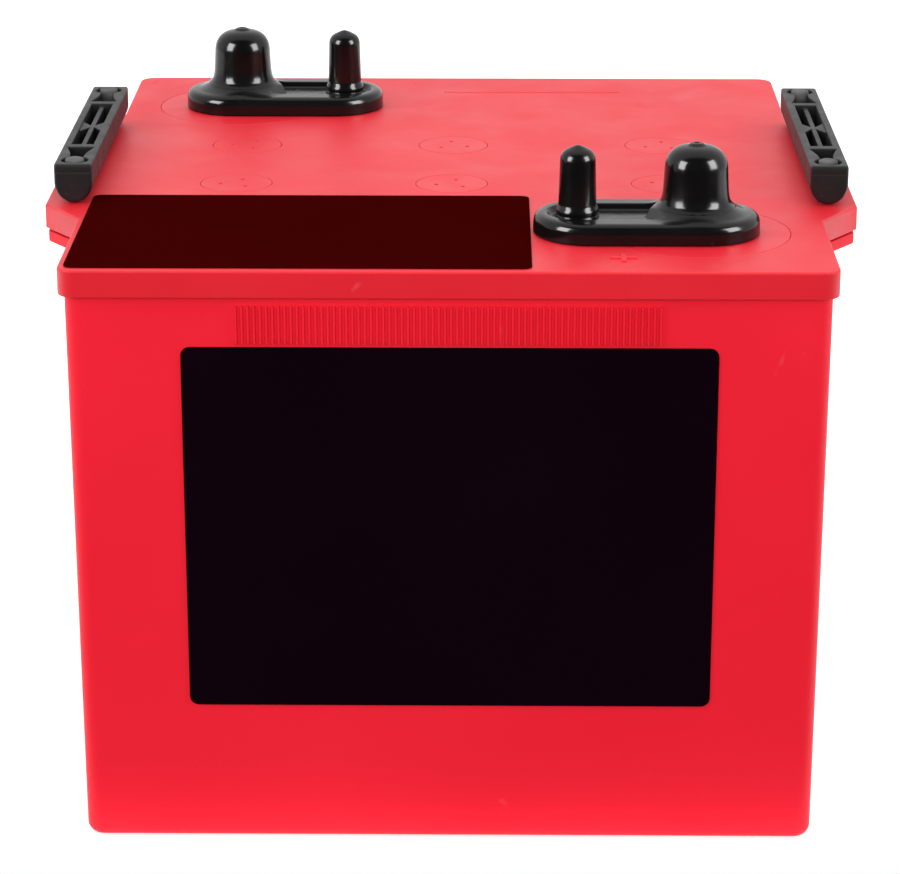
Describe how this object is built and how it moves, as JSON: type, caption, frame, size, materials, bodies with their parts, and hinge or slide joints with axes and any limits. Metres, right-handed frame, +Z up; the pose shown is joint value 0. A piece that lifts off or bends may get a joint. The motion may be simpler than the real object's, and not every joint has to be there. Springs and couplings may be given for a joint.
{
  "type": "deep cycle battery",
  "caption": "Sealed 12 V lead-acid block battery: red case and lid, flush vent caps, diagonal post-and-stud terminals under black boots, rope handles on two sides.",
  "frame": {"origin": "on the ground under the middle of the case", "axes": "+Z up, +X to the right seen from the ribbed front, -Y is the front; the rope handles are on the -X and +X sides"},
  "size_m": [0.2814, 0.283, 0.2335],
  "materials": {
    "red_case": "satin moulded polypropylene",
    "red_lid": "satin moulded polypropylene",
    "red_pad": "smooth moulded polypropylene",
    "red_cap": "satin moulded polypropylene",
    "black_vinyl": "glossy dipped vinyl",
    "grip_plastic": "fine spark-eroded texture",
    "handle_rope": "braided polypropylene",
    "valve_rubber": "moulded rubber",
    "lead": "cast lead, dull",
    "stainless_steel": "turned and threaded",
    "lead_grid": "pasted lead grid",
    "glass_mat": "absorbent glass fibre",
    "black_label": "printed film, blank",
    "maroon_label": "printed film, blank"
  },
  "bodies": {
    "battery": {"case": "red_case", "lid": "red_lid", "terminal_pad_positive": "red_pad", "terminal_pad_negative": "red_pad", "vent_cap_1": "red_cap", "vent_cap_2": "red_cap", "vent_cap_3": "red_cap", "vent_cap_4": "red_cap", "vent_cap_5": "red_cap", "vent_cap_6": "red_cap", "relief_valve_1": "valve_rubber", "relief_valve_2": "valve_rubber", "relief_valve_3": "valve_rubber", "relief_valve_4": "valve_rubber", "relief_valve_5": "valve_rubber", "relief_valve_6": "valve_rubber", "terminal_casting_positive": "lead", "terminal_casting_negative": "lead", "cell_link_1_2": "lead", "cell_link_2_3": "lead", "cell_link_3_4": "lead", "cell_link_4_5": "lead", "cell_link_5_6": "lead", "stud_positive": "stainless_steel", "stud_negative": "stainless_steel", "positive_plates_1": "lead_grid", "positive_plates_2": "lead_grid", "positive_plates_3": "lead_grid", "positive_plates_4": "lead_grid", "positive_plates_5": "lead_grid", "positive_plates_6": "lead_grid", "negative_plates_1": "lead_grid", "negative_plates_2": "lead_grid", "negative_plates_3": "lead_grid", "negative_plates_4": "lead_grid", "negative_plates_5": "lead_grid", "negative_plates_6": "lead_grid", "glass_mat_1": "glass_mat", "glass_mat_2": "glass_mat", "glass_mat_3": "glass_mat", "glass_mat_4": "glass_mat", "glass_mat_5": "glass_mat", "glass_mat_6": "glass_mat", "front_label": "black_label", "top_label": "maroon_label"},
    "handle_left": {"handle_grip_left": "grip_plastic", "handle_rope_left_front": "handle_rope", "handle_rope_left_rear": "handle_rope"},
    "handle_right": {"handle_grip_right": "grip_plastic", "handle_rope_right_front": "handle_rope", "handle_rope_right_rear": "handle_rope"},
    "boot_positive_body": {"boot_positive": "black_vinyl"},
    "boot_negative_body": {"boot_negative": "black_vinyl"}
  },
  "joints": [
    {"name": "handle_left_lift", "type": "slide", "parent": "battery", "child": "handle_left", "axis": [0, 0, 1], "range_m": [0, 0.052]},
    {"name": "handle_right_lift", "type": "slide", "parent": "battery", "child": "handle_right", "axis": [0, 0, 1], "range_m": [0, 0.052]},
    {"name": "boot_positive_lift", "type": "slide", "parent": "battery", "child": "boot_positive_body", "axis": [0, 0, 1], "range_m": [0, 0.045]},
    {"name": "boot_negative_lift", "type": "slide", "parent": "battery", "child": "boot_negative_body", "axis": [0, 0, 1], "range_m": [0, 0.045]}
  ]
}
